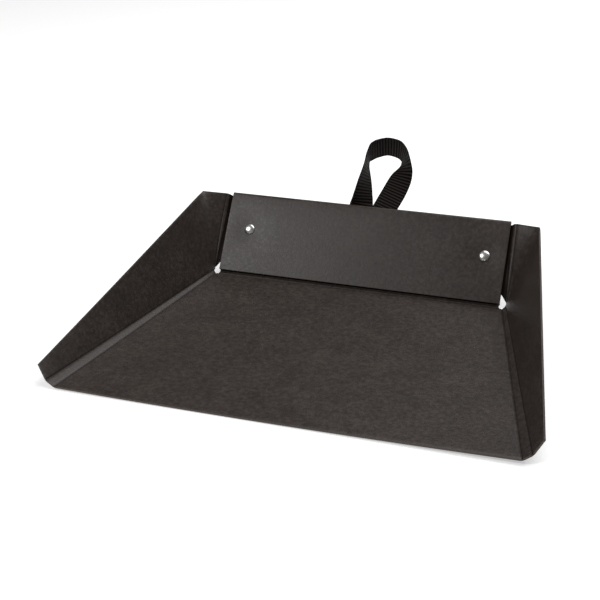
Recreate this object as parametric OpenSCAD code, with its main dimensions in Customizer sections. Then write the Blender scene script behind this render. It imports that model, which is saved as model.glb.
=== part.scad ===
/* [Board] */
// Thickness of the pressed board
board_t = 1.4; // [1:0.1:2]

/* [Base] */
// Width of the base between its side creases at the front edge
front_w = 320; // [300:1:340]
// Width of the base between its side creases at the back crease
back_w = 240; // [230:1:250]
// Depth of the base from the front edge to the back crease
base_d = 213; // [190:1:230]

/* [Side walls] */
// Width of the strip between the two score lines at the front end
side_strip_front_w = 6.5; // [5:0.5:8]
// Width of the strip between the two score lines at the back end
side_strip_back_w = 4; // [3:0.5:5]
// Fold of a side wall up from the base, in degrees
side_angle = 67; // [60:1:75]
// Height of a side wall along its slope at the front tip
tip_h = 12.5; // [8:0.5:20]
// Height of a side wall along its slope at the back
side_h = 63; // [58:1:66]

/* [Back wall] */
// Fold of the back wall up from the base, in degrees
back_angle = 54; // [48:1:62]
// Width of the strip between the two score lines at its foot
back_strip_w = 5.5; // [4:0.5:7]
// Height of the back wall along its slope, up to the start of its rolled top
back_h = 65; // [60:1:68]
// Width of the back wall and of the flap folded down inside it
wall_w = 235; // [225:1:240]
// How far the flap reaches below the back wall's lower score line
flap_drop = 1; // [0:0.5:1]
// Radius of the relief holes where the creases meet
relief_r = 4.5; // [3:0.5:6]

/* [Corner tabs] */
// Distance of the corner fold in front of the back wall at its top
corner_lead = 6; // [4:0.5:8]
// Reach of a tab behind the flap, from the corner
tab_reach = 38; // [30:1:45]

/* [Rivets] */
// Half of the distance between the two rivets
rivet_x = 99; // [92:1:104]
// Sideways shift of the pair, set by hand in the riveting
rivet_shift = 1.5; // [-3:0.5:3]
// Height of the rivets along the back wall
rivet_s = 36; // [25:1:45]
// Radius of a rivet's shank
shank_r = 1.6; // [1.2:0.1:2]
// Radius of a rivet's domed cap
cap_r = 4.5; // [4:0.1:5.5]
// Height of the dome
cap_h = 2; // [1.5:0.1:2.5]

/* [Hanging loop] */
// Width of the webbing
web_w = 20; // [18:1:22]
// Thickness of the webbing
web_t = 1.4; // [1.2:0.1:1.6]
// Height of the loop's arch above its root
loop_h = 52; // [46:1:58]
// Half of the loop's width at its shoulders
loop_half_w = 16; // [14:1:18]
// Sideways place of the loop's arch
loop_x = 7.5; // [-10:0.5:10]

/* [Hidden] */
$fn = 48;

board_color = [0.15, 0.14, 0.135];
nickel_color = [0.8, 0.8, 0.78];
webbing_color = [0.06, 0.06, 0.06];

// Everything is laid out on the middle surface of the board.
mid_z = board_t / 2;
up = [0, 0, 1];
function unit(v) = v / norm(v);

// Right-hand side wall: its crease line, the direction away from it, and how it climbs.
base_front = [front_w / 2, -base_d / 2, mid_z];
base_back = [back_w / 2, base_d / 2, mid_z];
crease_len = norm(base_back - base_front);
along = unit(base_back - base_front);
outward = cross(along, up);
strip_dir = cos(side_angle / 2) * outward + sin(side_angle / 2) * up;
wall_dir = cos(side_angle) * outward + sin(side_angle) * up;
function on_side(a, strip, rise) = base_front + a * along + strip * strip_dir + rise * wall_dir;

// The blank's edge runs back a little from the base to the wall's tip, and on past the corner.
foot_setback = 1;
tip_setback = 2.8;
foot_overrun = 3.5;
top_overrun = 25.5;
foot_front = on_side(foot_setback, side_strip_front_w, 0);
foot_back = on_side(crease_len + foot_overrun, side_strip_back_w, 0);
wall_tip = on_side(tip_setback, side_strip_front_w, tip_h);
wall_top = on_side(crease_len + top_overrun, side_strip_back_w, side_h);

// Back wall frame: x across the pan, s up the slope from the lower score line, off towards the front.
back_foot = [
    0,
    base_d / 2 + back_strip_w * cos(back_angle / 2),
    mid_z + back_strip_w * sin(back_angle / 2)
];
slope = [0, cos(back_angle), sin(back_angle)];
inward = [0, -sin(back_angle), cos(back_angle)];
function on_back(x, s, off) = back_foot + [x, 0, 0] + s * slope + off * inward;

// The wall, a tab and the flap lie on each other; the flap's roll turns round the tab's edge.
tab_off = board_t;
flap_off = 2 * board_t;

// Corner: the wall's last facet folds at corner_top and its strip turns in to the tab.
corner_x = back_w / 2 + 1.5;
corner_top = on_back(corner_x, back_h + 1, corner_lead);
tab_x = wall_w / 2 + 0.5;
tab_low_s = 9;
tab_top = on_back(tab_x, back_h - 1, tab_off);
tab_foot = on_back(tab_x, tab_low_s, tab_off);

// Rivet heads: thin flat heads behind, domes in front.
head_t = 0.9;
hole_gap = 0.1;
function rivet_place(side) = side * rivet_x + rivet_shift;
loop_rivet_x = loop_x - 6.5;
loop_rivet_s = back_h - 21;
loop_head_r = 4;

// Strap ends: from their cut ends behind the wall up to the root of the loop, crossing on the way.
root_gap = 2;
hinge_s = back_h + 3;
strap_end_s = back_h - 31;
front_leg_off = -(board_t + web_t) / 2;
back_leg_off = front_leg_off - web_t;
left_leg_x = loop_x - 14.7;
right_leg_x = loop_x + 6.5;
left_end_x = left_leg_x + 6;
right_end_x = right_leg_x - 12;
loop_steps = 48;

// A flat panel through the given corners, which lie in one plane, on the board's middle surface.
module panel(corners) {
    o = corners[0];
    u = unit(corners[1] - o);
    n = unit(cross(u, corners[2] - o));
    v = cross(n, u);
    multmatrix([
        [u.x, v.x, n.x, o.x],
        [u.y, v.y, n.y, o.y],
        [u.z, v.z, n.z, o.z],
        [0, 0, 0, 1]
    ])
        linear_extrude(board_t, center = true)
            polygon([for (p = corners) [(p - o) * u, (p - o) * v]]);
}

// The back of a fold, an eight-sided bead just thinner than the board, between two points.
module fold(from, to) {
    d = to - from;
    translate(from)
        rotate([0, acos(d.z / norm(d)), atan2(d.y, d.x)])
            cylinder(d = 0.95 * board_t, h = norm(d), $fn = 8);
}

// Local frame of the back wall: x across, y up its slope, z towards the front of the pan.
module on_back_wall(x = 0, s = 0, off = 0) {
    translate(on_back(x, s, off)) rotate([back_angle, 0, 0]) children();
}

// Die-cut relief holes at both back corners of the base.
module relief_holes() {
    for (side = [-1, 1])
        translate([side * (back_w / 2 - 1), base_d / 2 + 2, -1])
            cylinder(r = relief_r, h = 12);
}

module base_panel() {
    color(board_color)
        difference() {
            linear_extrude(board_t)
                polygon([
                    [-front_w / 2, -base_d / 2], [front_w / 2, -base_d / 2],
                    [back_w / 2, base_d / 2], [-back_w / 2, base_d / 2]
                ]);
            relief_holes();
        }
}

module side_wall() {
    color(board_color)
        difference() {
            union() {
                panel([base_front, base_back, foot_back, foot_front]);
                panel([foot_front, foot_back, wall_top, wall_tip]);
                panel([foot_back, corner_top, wall_top]);
                fold(base_front, base_back);
                fold(foot_front, foot_back);
                fold(foot_back, wall_top);
            }
            relief_holes();
        }
}

// The tab of the right-hand corner; the left one is its mirror image but for the rivet's hole.
module corner_tab(hole_x) {
    tip_x = tab_x - tab_reach;
    taper = 8;
    color(board_color) {
        difference() {
            union() {
                panel([foot_back, corner_top, tab_top]);
                panel([foot_back, tab_top, tab_foot]);
                fold(foot_back, corner_top);
                fold(tab_foot, tab_top);
            }
            relief_holes();
        }
        difference() {
            on_back_wall(off = tab_off)
                linear_extrude(board_t, center = true)
                    polygon([
                        [tab_x, tab_low_s], [tab_x, back_h - 1],
                        [tip_x, back_h - 1 - taper], [tip_x, tab_low_s + taper]
                    ]);
            rivet_hole(hole_x);
        }
    }
}

// Clear hole for a rivet's shank, square to the back wall.
module rivet_hole(x, s = rivet_s) {
    on_back_wall(x, s, -board_t)
        cylinder(r = shank_r + hole_gap, h = 4.5 * board_t);
}

module outer_back_wall() {
    strip_front = base_d / 2;
    half = wall_w / 2;
    color(board_color)
        difference() {
            union() {
                panel([
                    [-back_w / 2, strip_front, mid_z], [back_w / 2, strip_front, mid_z],
                    on_back(half, 0, 0), on_back(-half, 0, 0)
                ]);
                fold([-back_w / 2, strip_front, mid_z], [back_w / 2, strip_front, mid_z]);
                fold(on_back(-half, 0, 0), on_back(half, 0, 0));
                on_back_wall()
                    translate([-half, 0, -board_t / 2])
                        cube([wall_w, back_h, board_t]);
            }
            relief_holes();
            for (side = [-1, 1]) rivet_hole(rivet_place(side));
            rivet_hole(loop_rivet_x, loop_rivet_s);
        }
}

module inner_back_flap() {
    half = wall_w / 2;
    color(board_color)
        difference() {
            union() {
                on_back_wall(-half, -flap_drop, flap_off - board_t / 2)
                    cube([wall_w, back_h + flap_drop, board_t]);
                // the board rolled over from the outer wall's top edge
                on_back_wall(-half, back_h, tab_off)
                    rotate([0, 90, 0])
                        linear_extrude(wall_w)
                            intersection() {
                                difference() {
                                    circle(r = tab_off + board_t / 2);
                                    circle(r = tab_off - board_t / 2);
                                }
                                translate([-5, 0]) square([10, 5]);
                            }
            }
            for (side = [-1, 1]) rivet_hole(rivet_place(side));
        }
}

// A flat head and the shank on it, standing along z from the head's under face.
module rivet_post(head, length) {
    color(nickel_color) {
        translate([0, 0, -head_t]) cylinder(r = head, h = head_t);
        cylinder(r = shank_r, h = length);
    }
}

// A domed cap pressed over the end of a shank, its flat face at z = 0.
module rivet_cap() {
    ball_r = (cap_r * cap_r + cap_h * cap_h) / (2 * cap_h);
    color(nickel_color)
        intersection() {
            translate([0, 0, cap_h - ball_r]) sphere(r = ball_r, $fn = 96);
            cylinder(r = cap_r, h = cap_h);
        }
}

module wall_rivet_post(x) {
    on_back_wall(x, rivet_s, -board_t / 2) rivet_post(cap_r, 3 * board_t + cap_h / 2);
}

module wall_rivet_cap(x) {
    on_back_wall(x, rivet_s, flap_off + board_t / 2) rivet_cap();
}

module loop_rivet_post() {
    on_back_wall(loop_rivet_x, loop_rivet_s, board_t / 2)
        rotate([180, 0, 0]) rivet_post(loop_head_r, board_t + 2 * web_t + cap_h / 2);
}

module loop_rivet_cap() {
    on_back_wall(loop_rivet_x, loop_rivet_s, back_leg_off - web_t / 2)
        rotate([180, 0, 0]) rivet_cap();
}

// One end of the strap, from its lower cut end up to the root of the loop.
module strap_end(low_x, high_x, off) {
    on_back_wall(off = off)
        linear_extrude(web_t, center = true)
            polygon([
                [low_x - web_w / 2, strap_end_s], [low_x + web_w / 2, strap_end_s],
                [high_x + web_w / 2, hinge_s - root_gap], [high_x - web_w / 2, hinge_s - root_gap]
            ]);
}

module strap_ends() {
    color(webbing_color)
        difference() {
            union() {
                strap_end(right_end_x, right_leg_x, front_leg_off);
                strap_end(left_end_x, left_leg_x, back_leg_off);
            }
            on_back_wall(loop_rivet_x, loop_rivet_s, -6) cylinder(r = shank_r + hole_gap, h = 6);
        }
}

// Route of the loop's middle line, in the back wall's frame: two legs that part and meet over an arch.
function bezier(p, t) =
    pow(1 - t, 3) * p[0] + 3 * pow(1 - t, 2) * t * p[1] + 3 * (1 - t) * t * t * p[2] + pow(t, 3) * p[3];
arch_top = [loop_x, hinge_s + loop_h, back_leg_off];
function half_route(leg_x, lean, side, off) = [
    [leg_x, hinge_s + root_gap, off],
    [leg_x + lean, hinge_s + loop_h * 0.38, off],
    arch_top + [side * loop_half_w * 1.3, 0, 0],
    arch_top
];
function route(t) = t < 0.5
    ? bezier(half_route(left_leg_x, 0, -1, back_leg_off), 2 * t)
    : bezier(half_route(right_leg_x, 8, 1, front_leg_off), 2 - 2 * t);

// The strap lies flat on the wall at both roots and turns to stand on edge round the arch, where its
// outer edge is the one nearer the front. The roots are cut level, so the strap starts off straight up.
edge_turn = 80;
arch_turn = 60;
edge_at = 0.6;
level_to = 0.12;
function ease(u) = (1 - cos(180 * u)) / 2;
function from_root(t) = t < 0.5 ? 2 * t : 2 - 2 * t;
function turn(t) =
    let (h = from_root(t))
    h < edge_at ? edge_turn * ease(h / edge_at)
                : edge_turn + (arch_turn - edge_turn) * ease((h - edge_at) / (1 - edge_at));
function heading(t) =
    let (
        raw = unit(route(min(1, t + 0.01)) - route(max(0, t - 0.01))),
        level = min(1, from_root(t) / level_to)
    )
    unit((1 - level) * [0, t < 0.5 ? 1 : -1, 0] + level * raw);
function ring(t) =
    let (
        h = heading(t),
        outer = unit(cross([0, 0, 1], h)),
        across = unit(cos(turn(t)) * outer + sin(turn(t)) * [0, 0, 1]),
        thick = cross(h, across)
    )
    [for (k = [[1, 1], [1, -1], [-1, -1], [-1, 1]])
        route(t) + k[0] * across * web_w / 2 + k[1] * thick * web_t / 2];

module webbing_loop() {
    rings = [for (i = [0:loop_steps]) ring(i / loop_steps)];
    last = 4 * loop_steps;
    color(webbing_color)
        on_back_wall()
            polyhedron(
                points = [for (r = rings) each r],
                faces = concat(
                    [[3, 2, 1, 0]],
                    [for (i = [0:loop_steps - 1], k = [0:3])
                        each [
                            [4 * i + k, 4 * i + (k + 1) % 4, 4 * i + 4 + k],
                            [4 * i + (k + 1) % 4, 4 * i + 4 + (k + 1) % 4, 4 * i + 4 + k]
                        ]],
                    [[last, last + 1, last + 2, last + 3]]
                )
            );
}

base_panel();
mirror([1, 0, 0]) side_wall();  // left_side_wall
side_wall();  // right_side_wall
mirror([1, 0, 0]) corner_tab(-rivet_place(-1));  // left_corner_tab
corner_tab(rivet_place(1));  // right_corner_tab
outer_back_wall();
inner_back_flap();
wall_rivet_post(rivet_place(-1));  // left_rivet_post
wall_rivet_cap(rivet_place(-1));  // left_rivet_cap
wall_rivet_post(rivet_place(1));  // right_rivet_post
wall_rivet_cap(rivet_place(1));  // right_rivet_cap
loop_rivet_post();
loop_rivet_cap();
strap_ends();
webbing_loop();
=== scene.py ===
import math

import bpy
import numpy as np
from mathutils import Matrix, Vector
from mathutils.kdtree import KDTree


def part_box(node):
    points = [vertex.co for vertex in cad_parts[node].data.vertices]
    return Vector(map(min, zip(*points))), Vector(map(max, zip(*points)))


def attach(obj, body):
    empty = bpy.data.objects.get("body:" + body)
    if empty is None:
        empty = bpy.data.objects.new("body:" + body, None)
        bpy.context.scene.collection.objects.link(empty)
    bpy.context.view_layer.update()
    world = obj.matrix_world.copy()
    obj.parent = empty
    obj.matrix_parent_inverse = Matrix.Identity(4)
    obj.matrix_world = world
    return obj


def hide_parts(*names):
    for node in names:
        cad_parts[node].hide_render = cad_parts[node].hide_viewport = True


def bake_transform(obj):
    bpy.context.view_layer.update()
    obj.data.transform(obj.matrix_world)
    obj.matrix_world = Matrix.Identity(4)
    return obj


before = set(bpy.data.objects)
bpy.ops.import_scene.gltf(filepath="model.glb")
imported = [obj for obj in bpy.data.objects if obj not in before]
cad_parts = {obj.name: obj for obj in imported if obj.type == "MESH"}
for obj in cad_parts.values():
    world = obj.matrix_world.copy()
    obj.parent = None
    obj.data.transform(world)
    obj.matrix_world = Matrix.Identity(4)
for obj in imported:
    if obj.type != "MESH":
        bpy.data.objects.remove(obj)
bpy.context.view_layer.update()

# ---------------------------------------------------------------------------------------------------
# The blank
# One die-cut sheet of black pressed leather-fibre board. Every fold is scored twice and made by hand, so
# it keeps a narrow strip between two grooves. The side walls end in tabs that lie inside the back wall,
# whose top is rolled over and comes down in front of them as a flap.
# ---------------------------------------------------------------------------------------------------

MM = 0.001
base_low, base_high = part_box("base_panel")
BOARD = base_high.z - base_low.z
FRONT_HALF = base_high.x
FRONT_Y = base_low.y
BACK_Y = base_high.y
FLAP_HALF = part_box("inner_back_flap")[1].x
FLAP_CLEARANCE = 2.5 * MM
BACK_HALF = FLAP_HALF + FLAP_CLEARANCE

BACK_ANGLE = math.radians(54)
BACK_STRIP = 5.5 * MM
BACK_H = 65 * MM
FLAP_DROP = 1 * MM
LAYER = 1.03 * BOARD
SCORE_TRIM = 1.3 * MM
SCORE_DEPTH = 0.4 * MM
SCORE_SHOW_THROUGH = 0.3
ROUND_STEPS = 6
RELIEF_R = 3.3 * MM


def point(x, y, z):
    return np.array((x, y, z), float)


def unit(v):
    length = np.linalg.norm(v)
    return v / length if length > 1e-9 else v


def mix(a, b, t):
    return a + (b - a) * t


# The back wall's own directions: x across, s up its slope from the lower groove, off towards the front.
SLOPE = point(0, math.cos(BACK_ANGLE), math.sin(BACK_ANGLE))
INWARD = point(0, -math.sin(BACK_ANGLE), math.cos(BACK_ANGLE))
BACK_CREASE = point(0, BACK_Y, BOARD / 2)
BACK_FOOT = BACK_CREASE + BACK_STRIP * point(0, math.cos(BACK_ANGLE / 2), math.sin(BACK_ANGLE / 2))


def on_back(x, s, off):
    return BACK_FOOT + point(x, 0, 0) + s * SLOPE + off * INWARD


# Corners of a side wall from front to back: the inner groove, the outer groove and the top edge. The two
# sides were folded by hand and differ a little at their front ends.
SIDE_CORNERS = {
    1: {
        "inner": (point(FRONT_HALF, FRONT_Y, BOARD / 2), point(BACK_HALF, BACK_Y, BOARD / 2)),
        "outer": (point(166, -104.5, 4.3) * MM, point(122.6, 110.6, 2.9) * MM),
        "top": (point(171.8, -101.4, 14.4) * MM, point(140.8, 136.5, 60.9) * MM),
    },
    -1: {
        "inner": (point(FRONT_HALF - 2 * MM, FRONT_Y, BOARD / 2), point(BACK_HALF, BACK_Y, BOARD / 2)),
        "outer": (point(165.1, -104.5, 3.6) * MM, point(122.6, 110.6, 2.9) * MM),
        "top": (point(171.8, -101.4, 13.6) * MM, point(141.4, 136.5, 61.6) * MM),
    },
}
CORNER_TOP = on_back(BACK_HALF + 1 * MM, BACK_H - 0.5 * MM, 6 * MM)
CORNER_STRIP = 1.7 * MM
TAB_X = FLAP_HALF + 0.7 * MM
TAB_TIP_X = 80 * MM
TAB_FOOT, TAB_TOP = on_back(TAB_X, 5.5 * MM, LAYER), on_back(TAB_X, BACK_H - 1 * MM, LAYER)
TIP_FOOT, TIP_TOP = on_back(TAB_TIP_X, 17 * MM, LAYER), on_back(TAB_TIP_X, BACK_H - 9 * MM, LAYER)
RELIEF_CENTRE = point(BACK_HALF, BACK_Y + 2.8 * MM, BOARD / 2)


def course(corners, trims, spacing):
    """Points along a line of corners, rounded at each inner corner, with how deep the groove is there."""
    points, groove = [], []
    start = corners[0]
    for k in range(1, len(corners)):
        leg = corners[k] - corners[k - 1]
        last = k == len(corners) - 1
        trim = 0 if last else min(trims[k - 1], 0.45 * np.linalg.norm(leg))
        end = corners[k] - unit(leg) * trim
        for share in spacing[k - 1][:-1]:
            points.append(mix(start, end, share))
            groove.append(0.0)
        if last:
            points.append(end)
            groove.append(0.0)
            break
        start = corners[k] + unit(corners[k + 1] - corners[k]) * trim
        for share in np.linspace(0, 1, ROUND_STEPS + 1)[:-1]:
            points.append(mix(mix(end, corners[k], share), mix(corners[k], start, share), share))
            groove.append(math.sin(math.pi * share) ** 2)
    return points, groove


class Sheet:
    """The middle surface of a board: points with their grooves, and faces, gathered grid by grid."""

    def __init__(self):
        self.points, self.groove, self.cuttable, self.faces = [], [], [], []

    def add_grid(self, rows, flip=False, cuttable=True):
        """Adds rows of points as a grid of faces. cuttable says which rows may be cut."""
        first, width = len(self.points), len(rows[0][0])
        for k, (points, groove) in enumerate(rows):
            self.points += list(points)
            self.groove += list(groove)
            self.cuttable += [cuttable if isinstance(cuttable, bool) else cuttable(k)] * width
        for i in range(len(rows) - 1):
            for j in range(width - 1):
                a = first + i * width + j
                face = (a, a + 1, a + 1 + width, a + width)
                self.faces.append(face[::-1] if flip else face)

    def weld(self):
        """Joins points that lie within a hundredth of a millimetre of each other."""
        place = {}
        index = []
        points, groove, cuttable = [], [], []
        for p, g, c in zip(self.points, self.groove, self.cuttable):
            key = tuple(np.round(p * 1e5).astype(int))
            if key not in place:
                place[key] = len(points)
                points.append(p)
                groove.append(g)
                cuttable.append(c)
            index.append(place[key])
            groove[place[key]] = max(groove[place[key]], g)
        faces = []
        for face in self.faces:
            corners = [index[k] for k in face]
            corners = [c for k, c in enumerate(corners) if c != corners[k - 1]]
            if len(set(corners)) == len(corners) and len(corners) > 2:
                faces.append(corners)
        self.points, self.groove, self.cuttable, self.faces = points, groove, cuttable, faces

    def free_edges(self):
        """Pairs of points at the sheet's cut edges."""
        edges = {(f[k], f[(k + 1) % len(f)]) for f in self.faces for k in range(len(f))}
        return [e for e in sorted(edges) if (e[1], e[0]) not in edges]

    def edge_distances(self):
        """How far each point lies from the nearest cut edge."""
        rim = self.free_edges()
        tree = KDTree(2 * len(rim))
        for n, (a, b) in enumerate(rim):
            tree.insert(self.points[a], 2 * n)
            tree.insert((self.points[a] + self.points[b]) / 2, 2 * n + 1)
        tree.balance()
        return np.array([tree.find(p)[2] for p in self.points])

    def ease(self, weights, passes):
        """Rounds a bend off by pulling its points towards their neighbours' middle."""
        ends = np.array([(f[k], f[(k + 1) % len(f)]) for f in self.faces for k in range(len(f))])
        ends = np.vstack([ends, ends[:, ::-1]])
        p = np.array(self.points)
        count = np.bincount(ends[:, 0], minlength=len(p))[:, None]
        for _ in range(passes):
            near = np.stack([np.bincount(ends[:, 0], p[ends[:, 1], k], len(p)) for k in range(3)], axis=1)
            p += weights[:, None] * 0.5 * (near / np.maximum(count, 1) - p)
        self.points = list(p)

    def cut(self, outside):
        """Cuts away what lies where outside(point) is negative, with a clean edge."""
        level = [outside(p) if c else 1.0 for p, c in zip(self.points, self.cuttable)]
        made = {}

        def crossing(a, b):
            key = (min(a, b), max(a, b))
            if key not in made:
                a, b = key
                share = level[a] / (level[a] - level[b])
                made[key] = len(self.points)
                self.points.append(mix(self.points[a], self.points[b], share))
                self.groove.append(mix(self.groove[a], self.groove[b], share))
                self.cuttable.append(True)
            return made[key]

        faces = []
        for face in self.faces:
            kept = []
            for k, a in enumerate(face):
                b = face[(k + 1) % len(face)]
                if level[a] >= 0:
                    kept.append(a)
                if (level[a] >= 0) != (level[b] >= 0):
                    kept.append(crossing(a, b))
            if len(kept) > 2:
                faces.append(kept)
        self.faces = faces

    def thicken(self, name, thickness, depth):
        """A closed board: the groove is pressed into its inner face, and a rim joins the two faces."""
        used = sorted({k for face in self.faces for k in face})
        index = {k: n for n, k in enumerate(used)}
        centre = np.array([self.points[k] for k in used])
        groove = np.array([self.groove[k] for k in used])
        edge = self.edge_distances()[used]
        rim = [(index[a], index[b]) for a, b in self.free_edges()]
        faces = [[index[k] for k in face] for face in self.faces]
        normal = np.zeros_like(centre)
        for face in faces:
            ring = centre[face]
            normal[face] += np.cross(ring - ring[0], np.roll(ring, -1, 0) - ring[0]).sum(0)
        normal /= np.linalg.norm(normal, axis=1)[:, None]
        inner = centre + normal * (thickness / 2 - depth * groove)[:, None]
        outer = centre - normal * (thickness / 2 - SCORE_SHOW_THROUGH * depth * groove)[:, None]
        count = len(centre)
        shell = faces + [[k + count for k in reversed(face)] for face in faces]
        shell += [[b, a, a + count, b + count] for a, b in rim]
        mesh = bpy.data.meshes.new(name)
        mesh.from_pydata(np.vstack([inner, outer]).tolist(), [], shell)
        # The groove values also go to the board material, which paints shade in the grooves with them.
        for label, values in (("groove", groove), ("edge_distance", edge)):
            layer = mesh.attributes.new(label, "FLOAT", "POINT")
            layer.data.foreach_set("value", np.concatenate([values, values]).astype(np.float32))
        return mesh


def spaced(steps, fine_start=0.0, fine_end=0.0, fine_steps=0):
    """Shares from 0 to 1 in even steps, with finer ones over a share at the start or the end."""
    parts = [0.0]
    if fine_start:
        parts += list(np.linspace(0, fine_start, fine_steps + 1)[1:])
    parts += list(np.linspace(fine_start, 1 - fine_end, steps + 1)[1:])
    if fine_end:
        parts += list(np.linspace(1 - fine_end, 1, fine_steps + 1)[1:])
    return parts


# How far the front edge stands off the floor: the folds hold its corners up, and its middle sags.
LIFT_LEFT, LIFT_MIDDLE, LIFT_RIGHT = 1.0 * MM, 0.2 * MM, 2.6 * MM
LIFT_REACH = 0.75


def front_lift(p):
    """How far a point is lifted: most at the front edge, and none behind the reach."""
    t = np.clip(p[0] / FRONT_HALF, -1.05, 1.05)
    u = (p[1] - FRONT_Y) / (BACK_Y - FRONT_Y)
    if u >= LIFT_REACH:
        return 0.0
    corner_lift = (LIFT_RIGHT + LIFT_LEFT) / 2
    bow = LIFT_MIDDLE + (LIFT_RIGHT - LIFT_LEFT) / 2 * t + (corner_lift - LIFT_MIDDLE) * t * t
    return bow * (1 - u / LIFT_REACH) ** 2


def mirrored(p, side):
    return p * (side, 1, 1)


blank = Sheet()
WALL_SPACING = spaced(22, 0.12, 0, 8)
STRIP_SPACING = spaced(3)
half_base = spaced(26, 0, 0.1, 12)
BASE_SPACING = sorted({0.5 - 0.5 * s for s in half_base} | {0.5 + 0.5 * s for s in half_base})
DEPTH_SPACING = spaced(56, 0, 0.06, 12)
LAST_BASE_ROW = 1 - SCORE_TRIM / (BACK_Y - FRONT_Y)


def across_at(u):
    """The blank across its base and both side walls, at a share u of the way from front to back."""
    left = [mirrored(mix(*SIDE_CORNERS[-1][line], u), -1) for line in ("top", "outer", "inner")]
    right = [mix(*SIDE_CORNERS[1][line], u) for line in ("inner", "outer", "top")]
    wall_down = [1 - s for s in reversed(WALL_SPACING)]
    spacing = [wall_down, STRIP_SPACING, BASE_SPACING, STRIP_SPACING, WALL_SPACING]
    return course(left + right, [SCORE_TRIM] * 4, spacing)


rows = [across_at(u * LAST_BASE_ROW) for u in DEPTH_SPACING]
blank.add_grid(rows)

# From the last whole row on, the two walls and the back go their own ways.
wall_count = len(WALL_SPACING) - 1
fold_count = wall_count + ROUND_STEPS + len(STRIP_SPACING) - 1 + ROUND_STEPS
last_row, end_row = rows[-1], across_at(1)
left_part = slice(0, fold_count + 1)
right_part = slice(len(last_row[0]) - fold_count - 1, None)
for part in (left_part, right_part):
    blank.add_grid([tuple(values[part] for values in row) for row in (last_row, end_row)])

# At the back each wall turns in at a double score and carries on as a tab, out of the light behind the flap.
# Its hidden part is painted dark as shade.
TAB_TRIMS = [0.9 * MM, 0.9 * MM, 1.2 * MM]
TAB_SPACING = [spaced(8), spaced(2), spaced(4), spaced(14)]
HIDDEN_FROM = len(TAB_SPACING[0]) - 1 + ROUND_STEPS + len(TAB_SPACING[1]) - 1 + ROUND_STEPS // 2
HIDDEN_SHADE = 1.5
for side in (-1, 1):
    foot, top = SIDE_CORNERS[side]["outer"][1], SIDE_CORNERS[side]["top"][1]
    wall_points = end_row[0][:wall_count + 1] if side < 0 else end_row[0][-wall_count - 1:]
    rows = []
    for p in wall_points:
        p = mirrored(p, side)
        v = np.dot(p - foot, top - foot) / np.dot(top - foot, top - foot)
        fold = mix(foot, CORNER_TOP, v)
        tab, tip = mix(TAB_FOOT, TAB_TOP, v), mix(TIP_FOOT, TIP_TOP, v)
        half_strip = CORNER_STRIP * min(1, 0.4 + v, v / 0.04)
        corners = [p, fold + half_strip * unit(p - fold), fold + half_strip * unit(tab - fold), tab, tip]
        points, groove = course(corners, TAB_TRIMS, TAB_SPACING)
        # Painted shade: past the strip the tab takes HIDDEN_SHADE as its groove value, which darkens it in
        # the board material and presses its inner face in a little.
        groove = [HIDDEN_SHADE if k > HIDDEN_FROM else g for k, g in enumerate(groove)]
        rows.append(([mirrored(q, side) for q in points], groove))
    blank.add_grid(rows, flip=True)

columns = last_row[0][fold_count:len(last_row[0]) - fold_count]
roll = [(BACK_H + LAYER * math.sin(a), LAYER * (1 - math.cos(a))) for a in np.linspace(0, math.pi, 13)]
RIVET_S = 36 * MM
FLAP_BOW = 0.9 * MM
DIMPLE_R = 13 * MM
BOW_RISE = 12 * MM


def middle_x(node):
    low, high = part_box(node)
    return (low.x + high.x) / 2


RIVET_XS = [middle_x(node) for node in ("left_rivet_cap", "right_rivet_cap")]


def flap_bow(x, s):
    """The flap stands a little off the tabs, and the rivets pull dimples into it."""
    pull = max(math.exp(-((x - r) ** 2 + (s - RIVET_S) ** 2) / DIMPLE_R ** 2) for r in RIVET_XS)
    rise = 1 - math.exp(-(BACK_H - s) / BOW_RISE)
    return FLAP_BOW * rise * (1 - pull)


# Columns from the base up the outer wall, over the rolled top edge and down the flap.
rows_up = []
for start in columns:
    x = start[0] / columns[-1][0] * FLAP_HALF
    crease = point(mix(start[0], x, 0.2), BACK_CREASE[1], BACK_CREASE[2])
    corners = [start, crease, on_back(x, 0, 0), on_back(x, BACK_H, 0)]
    points, groove = course(corners, [SCORE_TRIM, SCORE_TRIM], [[0, 1], spaced(4), spaced(24, 0.1, 0, 6)])
    points, groove = points[:-1], groove[:-1]
    outer_count = len(points)
    points += [on_back(x, s, off) for s, off in roll]
    for share in spaced(34, 0, 0.03, 3)[1:]:
        s = mix(BACK_H, -FLAP_DROP, share)
        points.append(on_back(x, s, 2 * LAYER + flap_bow(x, s)))
    groove += [0.0] * (len(points) - len(groove))
    rows_up.append((points, groove))
rows = [([c[0][k] for c in rows_up], [c[1][k] for c in rows_up]) for k in range(len(rows_up[0][0]))]
blank.add_grid(rows, cuttable=lambda k: k < outer_count)

blank.weld()

# The wall bends softly, not at a score, where it leaves its plane for the corner fold.
EASE_FRONT, EASE_BACK, EDGE_CLEAR = 34 * MM, 16 * MM, 9 * MM
EASE_PASSES = 220
edge_clear = np.clip(blank.edge_distances() / EDGE_CLEAR, 0, 1)
for side in (-1, 1):
    foot, top = [mirrored(SIDE_CORNERS[side][line][1], side) for line in ("outer", "top")]
    backward = unit(mirrored(CORNER_TOP, side) - top)
    offset = np.array(blank.points) - foot
    climb = np.clip(offset @ (top - foot) / np.dot(top - foot, top - foot), 0, 1)
    away = offset - climb[:, None] * (top - foot)
    reach = np.where(away @ backward > 0, EASE_BACK, EASE_FRONT) * (0.1 + climb)
    near = np.clip(1 - np.linalg.norm(away, axis=1) / reach, 0, 1)
    weights = np.minimum(1, 2 * near) * edge_clear * np.clip(climb / 0.2 - 0.6, 0, 1)
    blank.ease(weights * np.array(blank.cuttable), EASE_PASSES)

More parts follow.
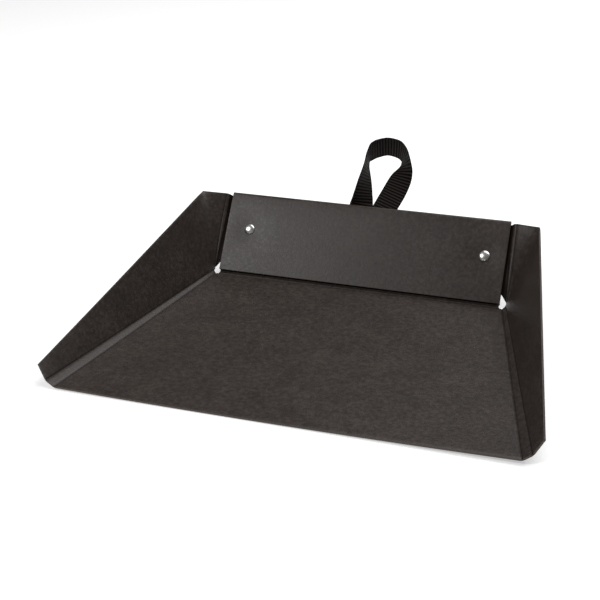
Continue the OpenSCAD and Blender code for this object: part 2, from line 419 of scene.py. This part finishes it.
# The relief holes at the two back corners, and the lift of the front edge.
for side in (-1, 1):
    centre = mirrored(RELIEF_CENTRE, side)
    blank.cut(lambda p: np.linalg.norm(p - centre) - RELIEF_R)
blank.points = [p + point(0, 0, front_lift(p)) for p in blank.points]


def add_object(name, data):
    made = bpy.data.objects.new(name, data)
    bpy.context.scene.collection.objects.link(made)
    return made


board = add_object("folded_blank", blank.thicken("folded_blank", BOARD, SCORE_DEPTH))
edge_round = board.modifiers.new("eased edges", "BEVEL")
edge_round.width = 0.3 * MM
edge_round.segments = 2
edge_round.limit_method = "ANGLE"
edge_round.angle_limit = math.radians(55)


def apply_modifiers(obj):
    """Turns what the modifiers make into the object's own mesh."""
    bpy.context.view_layer.update()
    made = bpy.data.meshes.new_from_object(obj.evaluated_get(bpy.context.evaluated_depsgraph_get()))
    obj.modifiers.clear()
    obj.data = made


apply_modifiers(board)
board.data.shade_smooth()
board.data.set_sharp_from_angle(angle=math.radians(42))


def new_material(name):
    material = bpy.data.materials.new(name)
    material.use_nodes = True
    return material, material.node_tree, material.node_tree.nodes["Principled BSDF"]


def add_node(tree, kind, **inputs):
    made = tree.nodes.new(kind)
    for key, value in inputs.items():
        made.inputs[key.replace("_", " ")].default_value = value
    return made


black_board, tree, shader = new_material("black_board")
link = tree.links.new
where = tree.nodes.new("ShaderNodeTexCoord").outputs["Object"]


def grain(scale, detail=4.0, roughness=0.6):
    made = add_node(tree, "ShaderNodeTexNoise", Scale=scale, Detail=detail, Roughness=roughness)
    link(where, made.inputs["Vector"])
    return made.outputs["Fac"]


def maths(operation, a, b=0.0, c=None):
    made = tree.nodes.new("ShaderNodeMath")
    made.operation = operation
    for socket, value in zip(made.inputs, (a, b, c)):
        if value is None:
            continue
        if isinstance(value, (int, float)):
            socket.default_value = value
        else:
            link(value, socket)
    return made.outputs[0]


def attribute(name):
    made = tree.nodes.new("ShaderNodeAttribute")
    made.attribute_name = name
    return made.outputs["Fac"]


def ramp(value, stops):
    made = tree.nodes.new("ShaderNodeValToRGB")
    link(value, made.inputs["Fac"])
    while len(made.color_ramp.elements) < len(stops):
        made.color_ramp.elements.new(0.5)
    for element, (position, colour) in zip(made.color_ramp.elements, stops):
        element.position = position
        element.color = (*colour, 1)
    return made.outputs["Color"]


def blend_colour(amount, a, b):
    made = tree.nodes.new("ShaderNodeMix")
    made.data_type = "RGBA"
    link(amount, made.inputs[0])
    for socket, value in ((made.inputs[6], a), (made.inputs[7], b)):
        if isinstance(value, tuple):
            socket.default_value = (*value, 1)
        else:
            link(value, socket)
    return made.outputs[2]


blotches = grain(28, 3)
mottle = grain(330, 5, 0.65)
fibres = grain(1300, 3, 0.7)
fine_tone = maths("MULTIPLY_ADD", blotches, 0.25, maths("MULTIPLY", fibres, 0.35))
tone = maths("MULTIPLY_ADD", mottle, 0.6, fine_tone)
board_colour = ramp(tone, [
    (0.45, (0.022, 0.0160, 0.0134)), (0.6, (0.038, 0.0284, 0.0244)), (0.75, (0.066, 0.051, 0.044)),
])
worn_edge = maths("MULTIPLY", maths("LESS_THAN", attribute("edge_distance"), 0.45 * MM), 0.55)
board_colour = blend_colour(worn_edge, board_colour, (0.066, 0.05, 0.039))
# Painted shade: the groove value darkens the board towards near black and takes away its gloss, in the score
# grooves and over the hidden part of each tab.
painted_groove_shade = maths("MULTIPLY", attribute("groove"), 0.6)
link(maths("MULTIPLY_ADD", painted_groove_shade, -0.42, 0.42), shader.inputs["Specular IOR Level"])
board_colour = blend_colour(painted_groove_shade, board_colour, (0.012, 0.009, 0.0075))
link(board_colour, shader.inputs["Base Color"])
link(maths("MULTIPLY_ADD", mottle, 0.3, 0.26), shader.inputs["Roughness"])
bump = add_node(tree, "ShaderNodeBump", Strength=0.7, Distance=0.00016)
link(maths("MULTIPLY_ADD", fibres, 0.6, mottle), bump.inputs["Height"])
link(bump.outputs["Normal"], shader.inputs["Normal"])
board.data.materials.clear()
board.data.materials.append(black_board)

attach(board, "pan")
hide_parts("base_panel", "left_side_wall", "right_side_wall", "left_corner_tab", "right_corner_tab",
            "outer_back_wall", "inner_back_flap")

# ---------------------------------------------------------------------------------------------------
# The rivets
# Three double-cap rivets of nickel-plated steel: a domed cap pressed on a hollow post with a thin head.
# Two close the back wall through flap, tab and wall, and one holds both ends of the strap behind it.
# ---------------------------------------------------------------------------------------------------

cap_low, cap_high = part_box("left_rivet_cap")
CAP_R = (cap_high.x - cap_low.x) / 2
CAP_H = 2 * MM
SHANK_R = 1.6 * MM
HEAD_T = 0.9 * MM
GRIP = 3 * LAYER
RIVET_SIDES = 48

# Half of the rivet's outline from the top of its cap down to the middle of its head, as radius and height.
quarter_turn = np.linspace(0, math.pi / 2, 12)
cap_dome = [(CAP_R * math.sin(a), CAP_H * (0.12 + 0.88 * math.cos(a))) for a in quarter_turn]
rivet_outline = cap_dome + [
    (CAP_R * 0.985, CAP_H * 0.03), (CAP_R * 0.94, -0.05 * MM), (SHANK_R, -0.05 * MM), (SHANK_R, -GRIP),
    (CAP_R * 0.95, -GRIP), (CAP_R, -GRIP - 0.25 * MM), (CAP_R, -GRIP - 0.6 * MM),
    (CAP_R * 0.93, -GRIP - HEAD_T), (0, -GRIP - HEAD_T),
]


def lathe(name, outline, sides):
    """A closed turned shape about z, from an outline that starts and ends on the axis."""
    points = [(0, 0, outline[0][1]), (0, 0, outline[-1][1])]
    rings = outline[1:-1]
    turns = np.linspace(0, 2 * math.pi, sides, endpoint=False)
    for r, z in rings:
        points += [(r * math.cos(a), r * math.sin(a), z) for a in turns]
    faces = []
    for k in range(sides):
        k2 = (k + 1) % sides
        faces.append((0, 2 + k, 2 + k2))
        faces.append((1, 2 + (len(rings) - 1) * sides + k2, 2 + (len(rings) - 1) * sides + k))
        for i in range(len(rings) - 1):
            a, b = 2 + i * sides, 2 + (i + 1) * sides
            faces.append((a + k, b + k, b + k2, a + k2))
    mesh = bpy.data.meshes.new(name)
    mesh.from_pydata(points, [], faces)
    mesh.shade_smooth()
    mesh.set_sharp_from_angle(angle=math.radians(50))
    return mesh


nickel, tree, shader = new_material("nickel")
link = tree.links.new
where = tree.nodes.new("ShaderNodeTexCoord").outputs["Object"]
scuffs = grain(900, 4, 0.6)
link(ramp(scuffs, [(0.3, (0.78, 0.765, 0.74)), (0.7, (0.9, 0.885, 0.86))]), shader.inputs["Base Color"])
shader.inputs["Metallic"].default_value = 1.0
link(maths("MULTIPLY_ADD", scuffs, 0.15, 0.22), shader.inputs["Roughness"])
bump = add_node(tree, "ShaderNodeBump", Strength=0.05, Distance=0.00002)
link(scuffs, bump.inputs["Height"])
link(bump.outputs["Normal"], shader.inputs["Normal"])


def geometry_tree(name, sockets):
    """A Geometry Nodes tree with the named inputs, and its input and output nodes."""
    group = bpy.data.node_groups.new(name, "GeometryNodeTree")
    group.interface.new_socket("Geometry", in_out="INPUT", socket_type="NodeSocketGeometry")
    for label, kind in sockets:
        group.interface.new_socket(label, in_out="INPUT", socket_type=kind)
    group.interface.new_socket("Geometry", in_out="OUTPUT", socket_type="NodeSocketGeometry")
    return group, group.nodes.new("NodeGroupInput"), group.nodes.new("NodeGroupOutput")


def close_tree(group, geometry, output, material):
    """Ends a tree in Realize Instances and Set Material."""
    realize = group.nodes.new("GeometryNodeRealizeInstances")
    paint = group.nodes.new("GeometryNodeSetMaterial")
    paint.inputs["Material"].default_value = material
    group.links.new(geometry, realize.inputs["Geometry"])
    group.links.new(realize.outputs["Geometry"], paint.inputs["Geometry"])
    group.links.new(paint.outputs["Geometry"], output.inputs["Geometry"])


def use_tree(obj, group, values):
    """Puts the tree on an object with these input values, and keeps the result as its mesh."""
    modifier = obj.modifiers.new(group.name, "NODES")
    modifier.node_group = group
    for item in group.interface.items_tree:
        if item.in_out == "INPUT" and item.name in values:
            modifier[item.identifier] = values[item.name]
    apply_modifiers(obj)


rivet_pattern = add_object("rivet_pattern", lathe("rivet_pattern", rivet_outline, RIVET_SIDES))
LOOP_RIVET_X = middle_x("loop_rivet_cap")
LOOP_RIVET_S = 44 * MM
cap_foot = 2 * LAYER + BOARD / 2
rivet_seats = [(on_back(x, RIVET_S, cap_foot), INWARD) for x in RIVET_XS]
rivet_seats.append((on_back(LOOP_RIVET_X, LOOP_RIVET_S, BOARD / 2 - GRIP), -INWARD))
seat_mesh = bpy.data.meshes.new("rivets")
seat_mesh.from_pydata([tuple(p) for p, _ in rivet_seats], [], [])
facing = seat_mesh.attributes.new("facing", "FLOAT_VECTOR", "POINT")
facing.data.foreach_set("vector", np.array([d for _, d in rivet_seats], np.float32).ravel())
rivets = add_object("rivets", seat_mesh)

group, tree_in, tree_out = geometry_tree("set rivets", [("Rivet", "NodeSocketObject")])
pattern = group.nodes.new("GeometryNodeObjectInfo")
group.links.new(tree_in.outputs["Rivet"], pattern.inputs["Object"])
way = group.nodes.new("GeometryNodeInputNamedAttribute")
way.data_type = "FLOAT_VECTOR"
way.inputs["Name"].default_value = "facing"
turn = group.nodes.new("FunctionNodeAlignRotationToVector")
turn.axis = "Z"
group.links.new(way.outputs["Attribute"], turn.inputs["Vector"])
place = group.nodes.new("GeometryNodeInstanceOnPoints")
group.links.new(tree_in.outputs["Geometry"], place.inputs["Points"])
group.links.new(pattern.outputs["Geometry"], place.inputs["Instance"])
group.links.new(turn.outputs["Rotation"], place.inputs["Rotation"])
close_tree(group, place.outputs["Instances"], tree_out, nickel)
use_tree(rivets, group, {"Rivet": rivet_pattern})
bpy.data.objects.remove(rivet_pattern)

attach(rivets, "pan")
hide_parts("left_rivet_post", "left_rivet_cap", "right_rivet_post", "right_rivet_cap",
            "loop_rivet_post", "loop_rivet_cap")

# ---------------------------------------------------------------------------------------------------
# The strap
# One length of black ribbed polypropylene webbing, 20 mm wide. Both ends are riveted flat behind the back
# wall, crossed over each other, and the loop between them turns on edge round its arch.
# ---------------------------------------------------------------------------------------------------

WEB_W = 20 * MM
WEB_T = 0.85 * MM
RIB_PITCH = 2.45 * MM
RIB_H = 0.26 * MM
SELVAGE = 0.09
STEPS_PER_RIB = 8

# Stations from end to end, in the back wall's directions: middle point in millimetres, and the way the width
# points, towards the loop's outer edge.
STRAP_ROUTE = [
    (-1, 34, -2.8, -1, 0, 0), (-4, 50, -2.8, -1, 0, 0),
    (-6.6, 62, -3.4, -0.99, 0, 0.1), (-7.6, 70, -5.2, -0.87, -0.2, 0.43),
    (-7.1, 78, -2.2, -0.65, -0.18, 0.74), (-6.7, 86, 0, -0.45, -0.12, 0.88),
    (-6.8, 100, 1.6, -0.08, 0.08, 0.99), (-7.3, 108.2, 0.6, 0.03, 0.3, 0.95),
    (-6.9, 113.8, -1.5, 0.1, 0.54, 0.84), (-4.8, 117, -3.5, 0.07, 0.55, 0.83),
    (-1.6, 119.8, -5.5, 0.06, 0.54, 0.84), (6, 123, -7.8, 0.05, 0.5, 0.86),
    (14.7, 121.7, -7.8, 0.05, 0.54, 0.84), (18.8, 119.2, -7, 0.13, 0.52, 0.85),
    (21.8, 115.2, -6, 0.38, 0.19, 0.91), (23.3, 109, -5.5, 0.56, -0.25, 0.79),
    (23.2, 102, -5.5, 0.73, -0.46, 0.5), (21.4, 94, -5.4, 0.85, -0.5, 0.19),
    (18.2, 83.3, -4.6, 0.92, -0.38, 0), (14.6, 73, -3.2, 0.94, -0.33, 0),
    (11, 63, -1.9, 0.95, -0.3, 0), (5, 49, -1.4, 0.93, -0.37, 0),
    (1, 36, -1.4, 0.93, -0.37, 0),
]


def smooth_route(stations, per_leg=24):
    """A smooth line through the stations, with each one's turn carried along it."""
    p = np.array(stations, float)
    p = np.vstack([2 * p[0] - p[1], p, 2 * p[-1] - p[-2]])
    out = []
    for k in range(1, len(p) - 2):
        for t in np.linspace(0, 1, per_leg, endpoint=False):
            a, b, c, d = p[k - 1], p[k], p[k + 1], p[k + 2]
            out.append(0.5 * (2 * b + (c - a) * t + (2 * a - 5 * b + 4 * c - d) * t ** 2
                              + (3 * b - a - 3 * c + d) * t ** 3))
    out.append(p[-2])
    return np.array(out)


route = smooth_route(STRAP_ROUTE)
route[:, :3] *= MM
length = np.concatenate([[0], np.cumsum(np.linalg.norm(np.diff(route[:, :3], axis=0), axis=1))])
steps = int(round(length[-1] / RIB_PITCH)) * STEPS_PER_RIB
runs = np.linspace(0, length[-1], steps + 1)
middle = np.stack([np.interp(runs, length, route[:, k]) for k in range(6)], axis=1)
heading = np.gradient(middle[:, :3], axis=0)
heading /= np.linalg.norm(heading, axis=1)[:, None]

# Points across the webbing, closer together towards its edges, over one face and back under the other.
shares = np.sin(np.linspace(-math.pi / 2, math.pi / 2, 17))
section = [(a, 1) for a in shares] + [(a, -1) for a in shares[-2:0:-1]]


def half_thickness(a):
    """Half of the webbing's thickness across it: flat, with a round selvage at each edge."""
    edge = max(0.0, (abs(a) - (1 - SELVAGE)) / SELVAGE)
    return WEB_T / 2 * math.sqrt(max(0.0, 1 - edge ** 2))


strap_points, run_values, across_values = [], [], []
for k, station in enumerate(middle):
    width = unit(station[3:] - heading[k] * np.dot(station[3:], heading[k]))
    thick = np.cross(heading[k], width)
    for a, face in section:
        q = station[:3] + width * a * WEB_W / 2 + thick * face * half_thickness(a)
        strap_points.append(on_back(*q))
        run_values.append(runs[k])
        across_values.append(a)
around = len(section)
strap_faces = []
for i in range(steps):
    here, ahead = i * around, (i + 1) * around
    for j in range(around):
        j2 = (j + 1) % around
        strap_faces.append((here + j, here + j2, ahead + j2, ahead + j))
strap_faces += [tuple(range(around))[::-1], tuple(range(steps * around, (steps + 1) * around))]
strap_mesh = bpy.data.meshes.new("webbing_strap")
strap_mesh.from_pydata([tuple(p) for p in strap_points], [], strap_faces)
for label, values in (("run", run_values), ("across", across_values)):
    layer = strap_mesh.attributes.new(label, "FLOAT", "POINT")
    layer.data.foreach_set("value", np.array(values, np.float32))
strap = add_object("webbing_strap", strap_mesh)

black_webbing, tree, shader = new_material("black_webbing")
link = tree.links.new
run, across = attribute("run"), attribute("across")
THREAD_PITCH = 0.8 * MM
warp = maths("ABSOLUTE", maths("SINE", maths("MULTIPLY", across, math.pi * WEB_W / 2 / THREAD_PITCH)))
# Painted shade: the webbing's colour goes to near black in the valleys between the ribs and is lighter on
# their crests.
painted_rib_shade = maths("ABSOLUTE", maths("SINE", maths("MULTIPLY", run, math.pi / RIB_PITCH)))
where = tree.nodes.new("ShaderNodeTexCoord").outputs["Object"]
fuzz = grain(1800, 3, 0.7)
tone = maths("MULTIPLY", maths("POWER", painted_rib_shade, 3), maths("MULTIPLY_ADD", fuzz, 0.5, 0.7))
webbing_colour_with_rib_shade = ramp(tone, [(0.1, (0.0010, 0.0008, 0.0007)), (0.9, (0.039, 0.0295, 0.0265))])
link(webbing_colour_with_rib_shade, shader.inputs["Base Color"])
shader.inputs["Roughness"].default_value = 0.6
shader.inputs["Specular IOR Level"].default_value = 0.07
bump = add_node(tree, "ShaderNodeBump", Strength=0.7, Distance=0.00015)
link(maths("MULTIPLY_ADD", fuzz, 0.4, warp), bump.inputs["Height"])
link(bump.outputs["Normal"], shader.inputs["Normal"])

rib_sockets = [("Rib pitch", "NodeSocketFloat"), ("Rib height", "NodeSocketFloat")]
group, tree_in, tree_out = geometry_tree("raise ribs", rib_sockets)


def tree_maths(operation, a, b=None):
    made = group.nodes.new("ShaderNodeMath")
    made.operation = operation
    for socket, value in zip(made.inputs, (a, b)):
        if isinstance(value, (int, float)):
            socket.default_value = value
        elif value is not None:
            group.links.new(value, socket)
    return made.outputs[0]


def stored(name):
    made = group.nodes.new("GeometryNodeInputNamedAttribute")
    made.data_type = "FLOAT"
    made.inputs["Name"].default_value = name
    return made.outputs["Attribute"]


wave = tree_maths("ABSOLUTE", tree_maths("SINE", tree_maths(
    "DIVIDE", tree_maths("MULTIPLY", stored("run"), math.pi), tree_in.outputs["Rib pitch"])))
inside = tree_maths("LESS_THAN", tree_maths("ABSOLUTE", stored("across")), 1 - SELVAGE)
rise = tree_maths("MULTIPLY", tree_maths("MULTIPLY", wave, inside), tree_in.outputs["Rib height"])
normal = group.nodes.new("GeometryNodeInputNormal")
push = group.nodes.new("ShaderNodeVectorMath")
push.operation = "SCALE"
group.links.new(normal.outputs["Normal"], push.inputs[0])
group.links.new(rise, push.inputs["Scale"])
move = group.nodes.new("GeometryNodeSetPosition")
group.links.new(tree_in.outputs["Geometry"], move.inputs["Geometry"])
group.links.new(push.outputs["Vector"], move.inputs["Offset"])
close_tree(group, move.outputs["Geometry"], tree_out, black_webbing)
use_tree(strap, group, {"Rib pitch": RIB_PITCH, "Rib height": RIB_H})
strap.data.shade_smooth()

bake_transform(strap)
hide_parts("strap_ends", "webbing_loop")

# ---------------------------------------------------------------------------------------------------
# View
# A pale floor under a dim white sky, a large soft light high at the back right, a smaller one at the front
# left for the gloss, and a camera above the front.
# ---------------------------------------------------------------------------------------------------

FLOOR_Z = -0.0003
FLOOR_HALF = 6.0
floor_mesh = bpy.data.meshes.new("floor")
floor_corners = [(x * FLOOR_HALF, y * FLOOR_HALF, FLOOR_Z) for x, y in ((-1, -1), (1, -1), (1, 1), (-1, 1))]
floor_mesh.from_pydata(floor_corners, [], [(0, 1, 2, 3)])
floor = add_object("floor", floor_mesh)
floor_paint, tree, shader = new_material("floor_paint")
shader.inputs["Base Color"].default_value = (0.9, 0.9, 0.9, 1)
shader.inputs["Roughness"].default_value = 0.9
shader.inputs["Specular IOR Level"].default_value = 0.0
shader.inputs["Emission Color"].default_value = (1, 1, 1, 1)
shader.inputs["Emission Strength"].default_value = 0.45
floor_mesh.materials.append(floor_paint)

world = bpy.data.worlds.new("studio")
world.use_nodes = True
world.node_tree.nodes["Background"].inputs["Color"].default_value = (1, 1, 1, 1)
world.node_tree.nodes["Background"].inputs["Strength"].default_value = 0.12
bpy.context.scene.world = world


def soft_light(name, place, target, size, power):
    lamp = bpy.data.lights.new(name, "AREA")
    lamp.shape = "DISK"
    lamp.size = size
    lamp.energy = power
    made = add_object(name, lamp)
    made.location = place
    made.rotation_euler = (Vector(target) - Vector(place)).to_track_quat("-Z", "Y").to_euler()


soft_light("overhead", (0.65, 0.8, 1.9), (0, 0, 0), 2.2, 34)
soft_light("gloss", (-0.8, -0.84, 1.12), (-0.1, 0.12, 0.03), 0.42, 8.5)

lens = bpy.data.cameras.new("camera")
lens.lens = 66.28
lens.sensor_width = 36
camera = add_object("camera", lens)
camera.location = (0.1939, -0.6880, 0.3819)
camera.rotation_euler = (math.radians(90 - 25.5), 0, math.radians(16.81))
bpy.context.scene.camera = camera
bpy.context.scene.view_settings.view_transform = "Standard"
